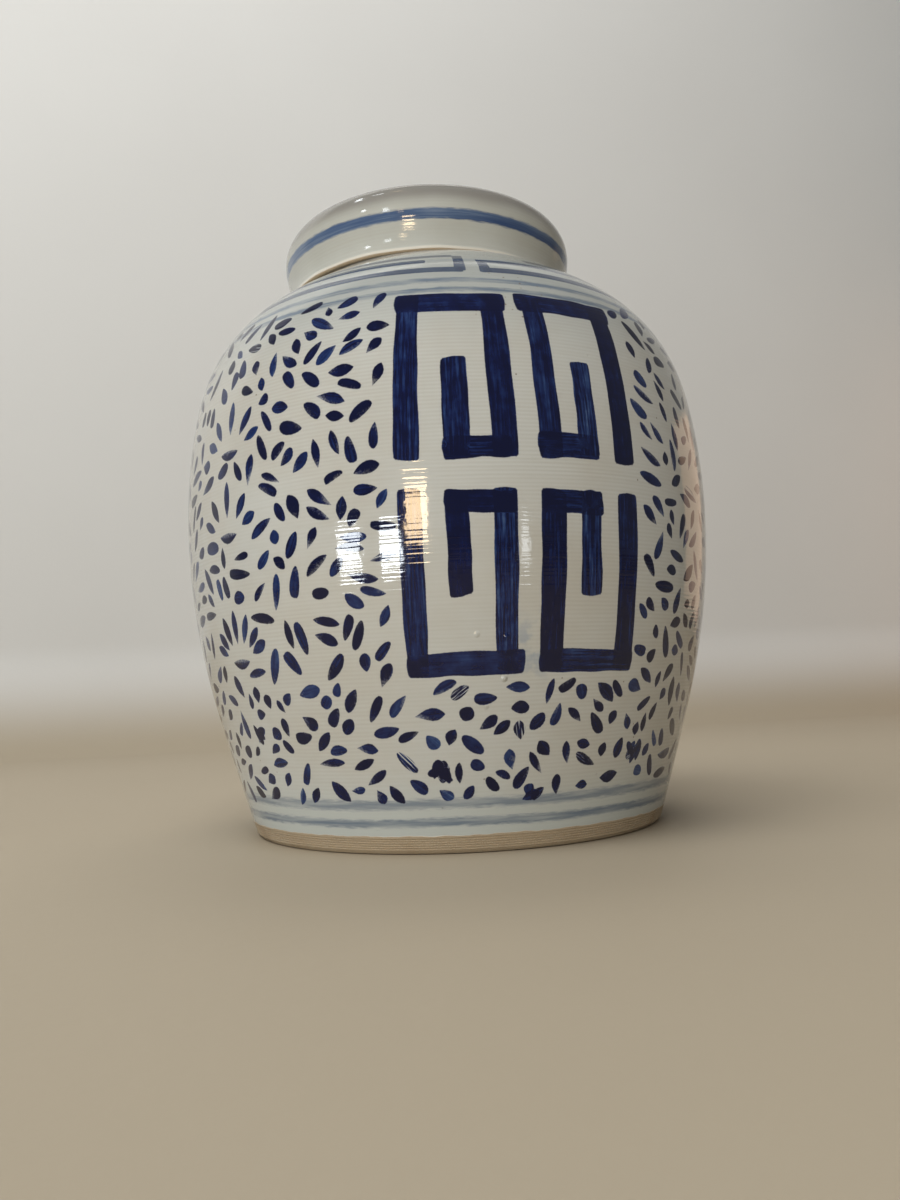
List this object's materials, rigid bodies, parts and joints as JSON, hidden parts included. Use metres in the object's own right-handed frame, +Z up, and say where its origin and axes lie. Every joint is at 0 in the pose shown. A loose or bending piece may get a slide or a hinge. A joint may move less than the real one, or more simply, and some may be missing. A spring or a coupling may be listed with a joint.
{
  "type": "ginger jar",
  "caption": "Bulbous glazed ceramic jar with a short neck and a loose hollow cap lid that lifts straight off.",
  "frame": {"origin": "centre of the circle that the foot stands on", "axes": "+Z up the jar's axis, -Y towards the painted front panel, +X to the right as the front is faced"},
  "size_m": [0.2124, 0.2124, 0.247],
  "materials": {
    "glazed_body": "gloss",
    "glazed_lid": "gloss"
  },
  "bodies": {
    "jar": {"jar_body": "glazed_body"},
    "lid": {"lid": "glazed_lid"}
  },
  "joints": [
    {"name": "lid_lift", "type": "slide", "parent": "jar", "child": "lid", "axis": [0, 0, 1], "range_m": [0, 0.08]}
  ]
}
